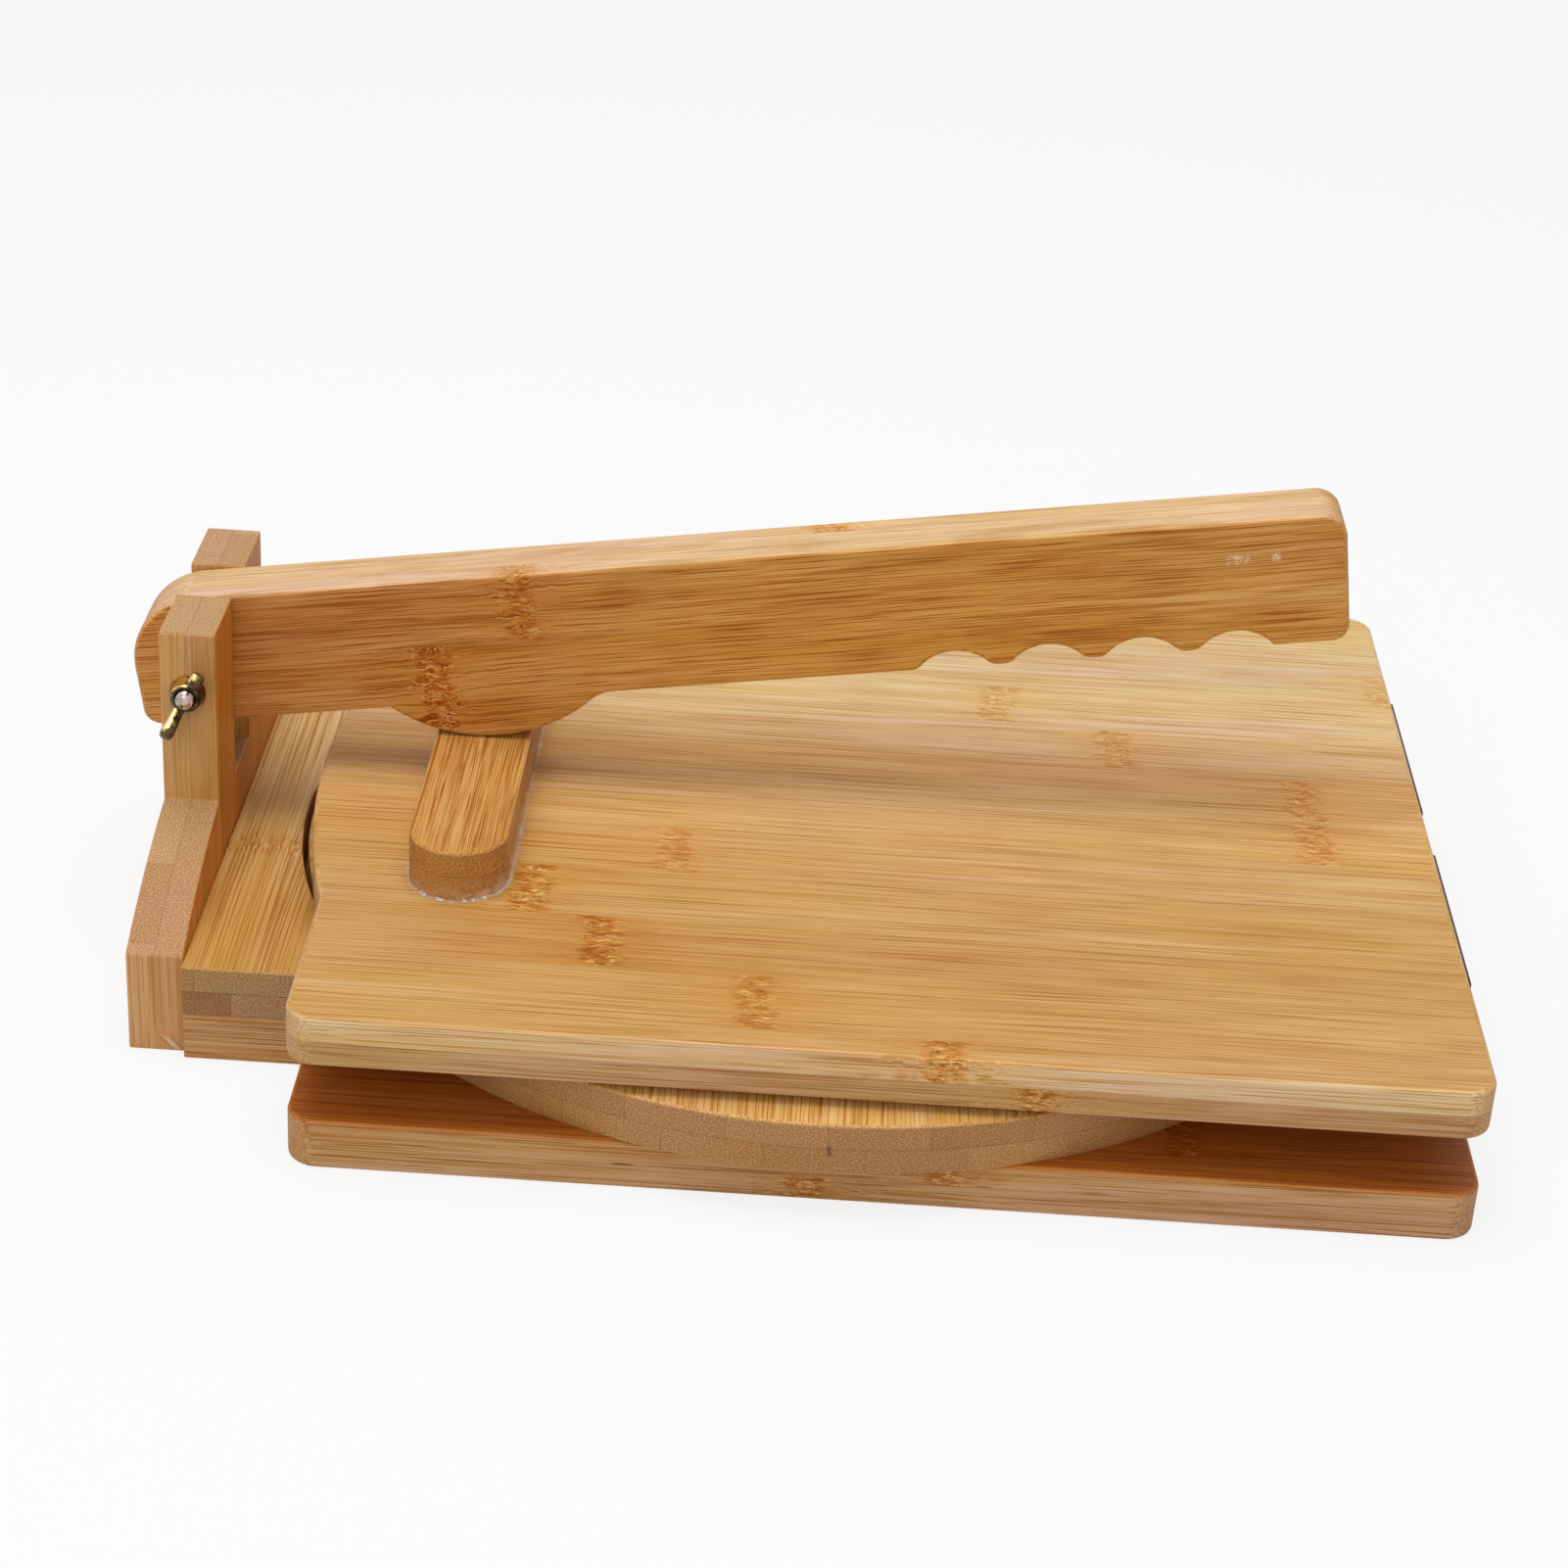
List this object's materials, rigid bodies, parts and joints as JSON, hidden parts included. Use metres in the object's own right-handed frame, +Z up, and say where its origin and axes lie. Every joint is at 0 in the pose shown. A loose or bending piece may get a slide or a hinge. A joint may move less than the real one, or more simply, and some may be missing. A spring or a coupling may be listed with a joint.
{
  "type": "tortilla press",
  "caption": "Lever press for flatbreads in laminated bamboo: a hinged lid over a round plate, pushed down by a cam lever that pivots between the posts of an upright yoke.",
  "frame": {"origin": "on the underside of the base board, below the centre of the press disc, which is the plane that stands on the table", "axes": "+X along the lever from its pivot towards its grip and the hinges, +Y from the wing nut side to the bolt head side, +Z up from the table"},
  "size_m": [0.3168, 0.254, 0.1208],
  "materials": {
    "bamboo_base": "oiled satin bamboo, grain along the board",
    "bamboo_block": "oiled satin bamboo, grain across the press",
    "bamboo_disc": "oiled satin bamboo, grain across the press, end grain round the rim",
    "bamboo_yoke": "oiled satin bamboo, grain upright",
    "screw_steel": "bright zinc",
    "bamboo_lid": "oiled satin bamboo, pale top layer, grain along the board",
    "bamboo_lever": "oiled satin bamboo, darker caramel sides, pale top edge",
    "yellow_zinc": "yellow passivated zinc with a faint rainbow tint",
    "bronze_hinge": "dark bronze plating",
    "bronze_screw": "dark bronze plating"
  },
  "bodies": {
    "base": {"base_board": "bamboo_base", "cross_block": "bamboo_block", "press_disc": "bamboo_disc", "yoke": "bamboo_yoke", "yoke_screws": "screw_steel", "pivot_bolt": "yellow_zinc", "base_leaf_front": "bronze_hinge", "base_leaf_rear": "bronze_hinge", "hinge_pin_front": "bronze_hinge", "hinge_pin_rear": "bronze_hinge", "base_hinge_screws": "bronze_screw"},
    "lid": {"lid_board": "bamboo_lid", "cam_block": "bamboo_block", "lid_leaf_front": "bronze_hinge", "lid_leaf_rear": "bronze_hinge", "lid_hinge_screws": "bronze_screw"},
    "lever": {"lever": "bamboo_lever"},
    "wing_nut": {"wing_nut": "yellow_zinc"}
  },
  "joints": [
    {"name": "lid_hinge", "type": "hinge", "parent": "base", "child": "lid", "pos_m": [0.146, 0, 0.019], "axis": [0, 1, 0], "range_deg": [0, 36]},
    {"name": "lever_pivot", "type": "hinge", "parent": "base", "child": "lever", "pos_m": [-0.151, 0, 0.0683], "axis": [0, -1, 0], "range_deg": [0, 180]},
    {"name": "wing_nut_turn", "type": "hinge", "parent": "base", "child": "wing_nut", "pos_m": [-0.151, -0.033, 0.0683], "axis": [0, -1, 0], "range_deg": [0, 360]}
  ],
  "couplings": [
    {"joint": "lever_pivot", "follows": "lid_hinge", "ratio": 5}
  ]
}
